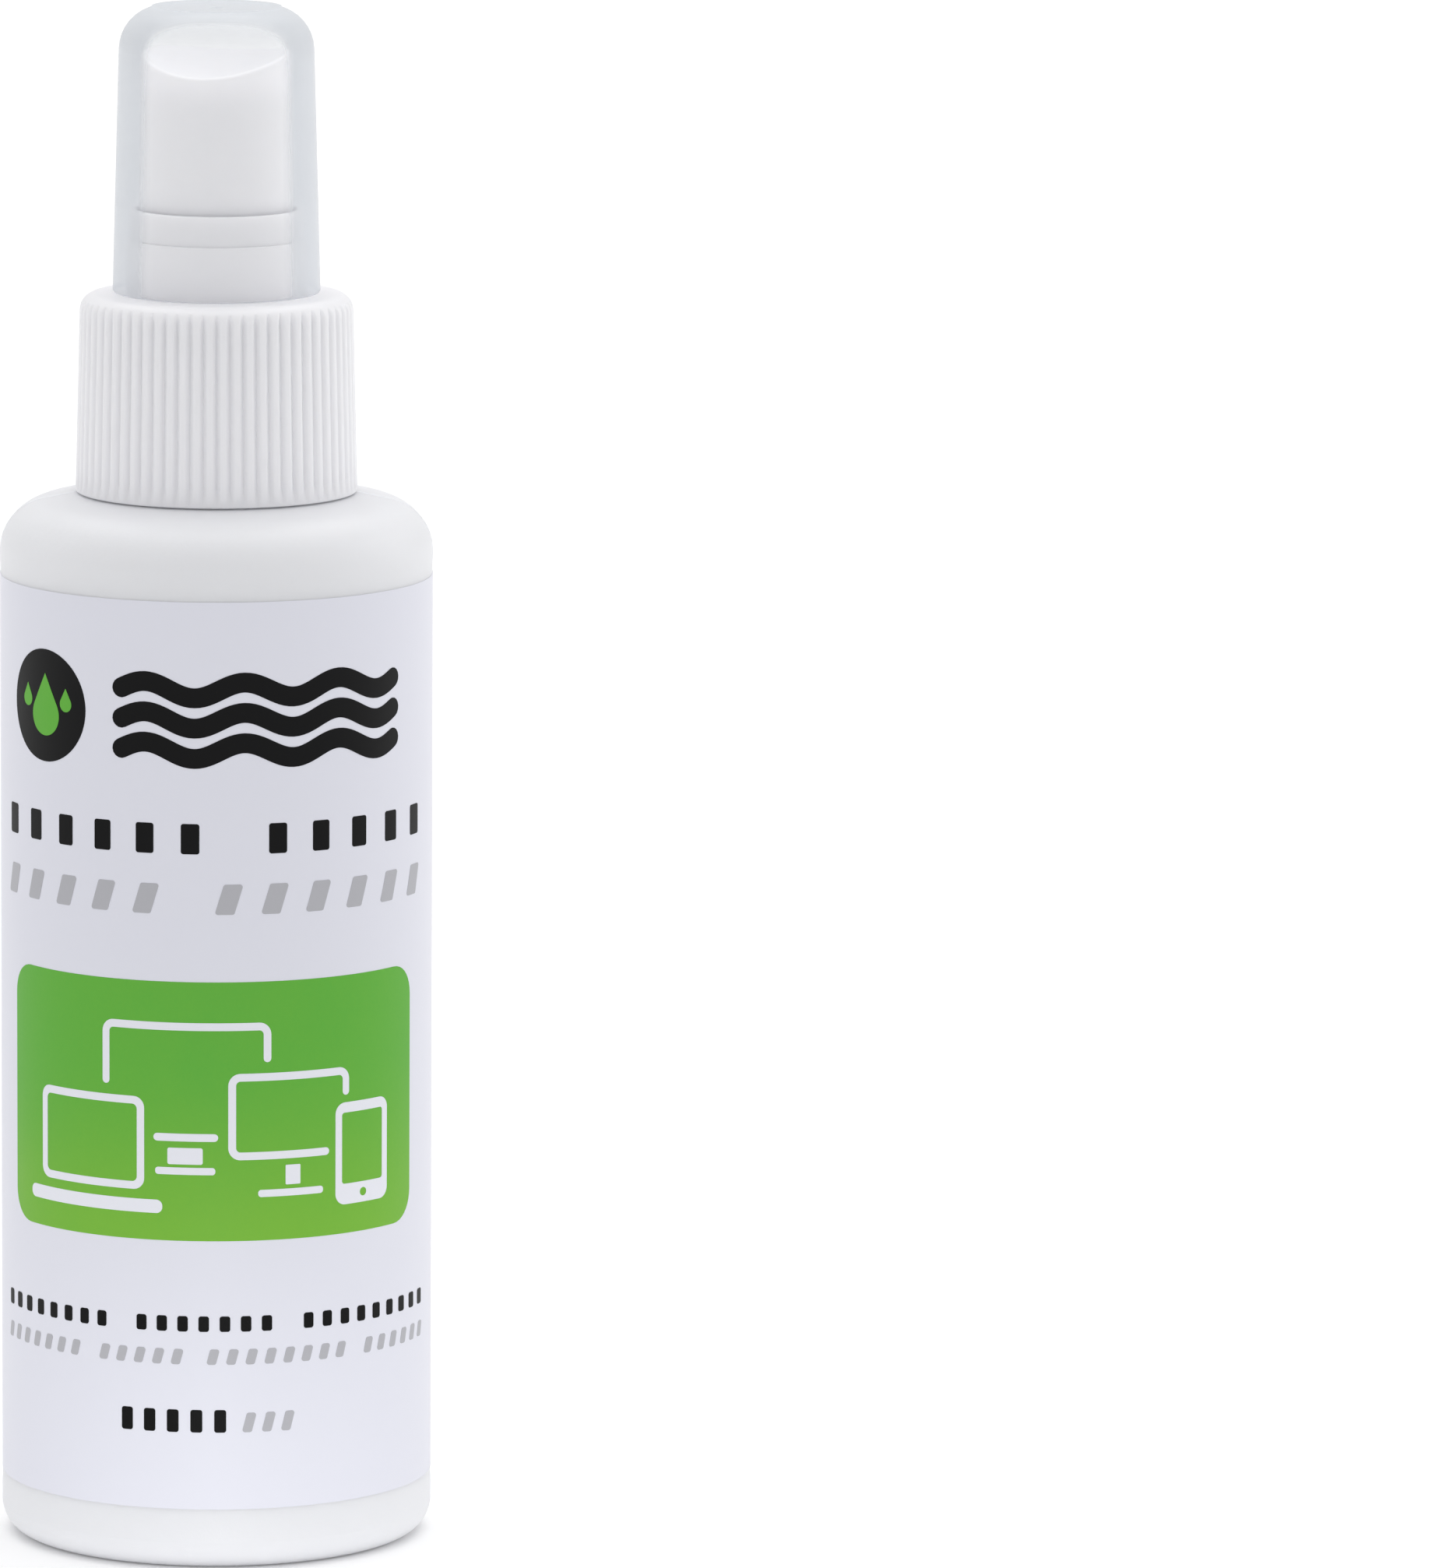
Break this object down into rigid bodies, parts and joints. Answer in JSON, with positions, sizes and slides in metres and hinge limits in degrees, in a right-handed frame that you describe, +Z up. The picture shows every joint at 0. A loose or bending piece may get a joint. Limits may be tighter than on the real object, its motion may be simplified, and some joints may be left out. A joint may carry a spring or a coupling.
{
  "type": "lens cleaning spray bottle",
  "caption": "Small cylindrical spray bottle with a wrapped label, ribbed screw closure, finger pump with dip tube, and a clear push-on hood over the spray head.",
  "frame": {"origin": "middle of the bottle's foot, on the surface it stands on", "axes": "+Z up along the bottle's axis; the label's front faces -Y and the nozzle faces +Y at rest"},
  "size_m": [0.0416, 0.0416, 0.1481],
  "materials": {
    "bottle_hdpe": "blow-moulded white polyethylene, satin",
    "label_film": "white polypropylene film, semi-gloss, printed in black, grey and green",
    "white_pp": "white polypropylene, semi-gloss",
    "clear_pp": "clarified polypropylene, slightly hazy",
    "natural_pp": "natural polypropylene, translucent",
    "piston_pe": "low-friction polyethylene",
    "dip_tube_pe": "natural polyethylene tube, translucent",
    "insert_acetal": "white acetal",
    "gasket_foam": "polyethylene foam",
    "gasket_rubber": "black nitrile rubber",
    "spring_steel": "stainless spring wire",
    "ball_steel": "polished stainless ball"
  },
  "bodies": {
    "bottle": {"bottle": "bottle_hdpe", "label": "label_film"},
    "pump": {"pump_housing": "natural_pp", "turret": "natural_pp", "neck_gasket": "gasket_foam", "stem_gasket": "gasket_rubber", "dip_tube": "dip_tube_pe", "return_spring": "spring_steel"},
    "closure": {"screw_closure": "white_pp"},
    "hood": {"hood": "clear_pp"},
    "plunger": {"stem": "white_pp", "valve_rod": "natural_pp", "pressure_spring": "spring_steel"},
    "piston": {"piston": "piston_pe"},
    "spray_head": {"spray_head": "white_pp", "nozzle_insert": "insert_acetal"},
    "inlet_ball": {"inlet_ball": "ball_steel"}
  },
  "joints": [
    {"name": "pump_lift", "type": "slide", "parent": "bottle", "child": "pump", "axis": [0, 0, 1], "range_m": [0, 0.0056]},
    {"name": "closure_turn", "type": "hinge", "parent": "pump", "child": "closure", "pos_m": [0, 0, 0.11], "axis": [0, 0, 1], "range_deg": [0, 630]},
    {"name": "hood_lift", "type": "slide", "parent": "closure", "child": "hood", "axis": [0, 0, 1], "range_m": [0, 0.035]},
    {"name": "head_press", "type": "slide", "parent": "pump", "child": "plunger", "axis": [0, 0, -1], "range_m": [0, 0.005], "stiffness_N_per_m": 800, "springref_m": -0.001, "deforming": ["return_spring"]},
    {"name": "head_turn", "type": "hinge", "parent": "plunger", "child": "spray_head", "pos_m": [0, 0, 0.13], "axis": [0, 0, 1], "continuous": true},
    {"name": "piston_slip", "type": "slide", "parent": "plunger", "child": "piston", "axis": [0, 0, 1], "range_m": [0, 0.0005], "deforming": ["pressure_spring"]},
    {"name": "ball_lift", "type": "slide", "parent": "pump", "child": "inlet_ball", "axis": [0, 0, 1], "range_m": [0, 0.001]}
  ],
  "couplings": [
    {"joint": "pump_lift", "follows": "closure_turn", "m_per_rad": 0.00050532},
    {"joint": "piston_slip", "follows": "head_press", "ratio": 0.1}
  ]
}
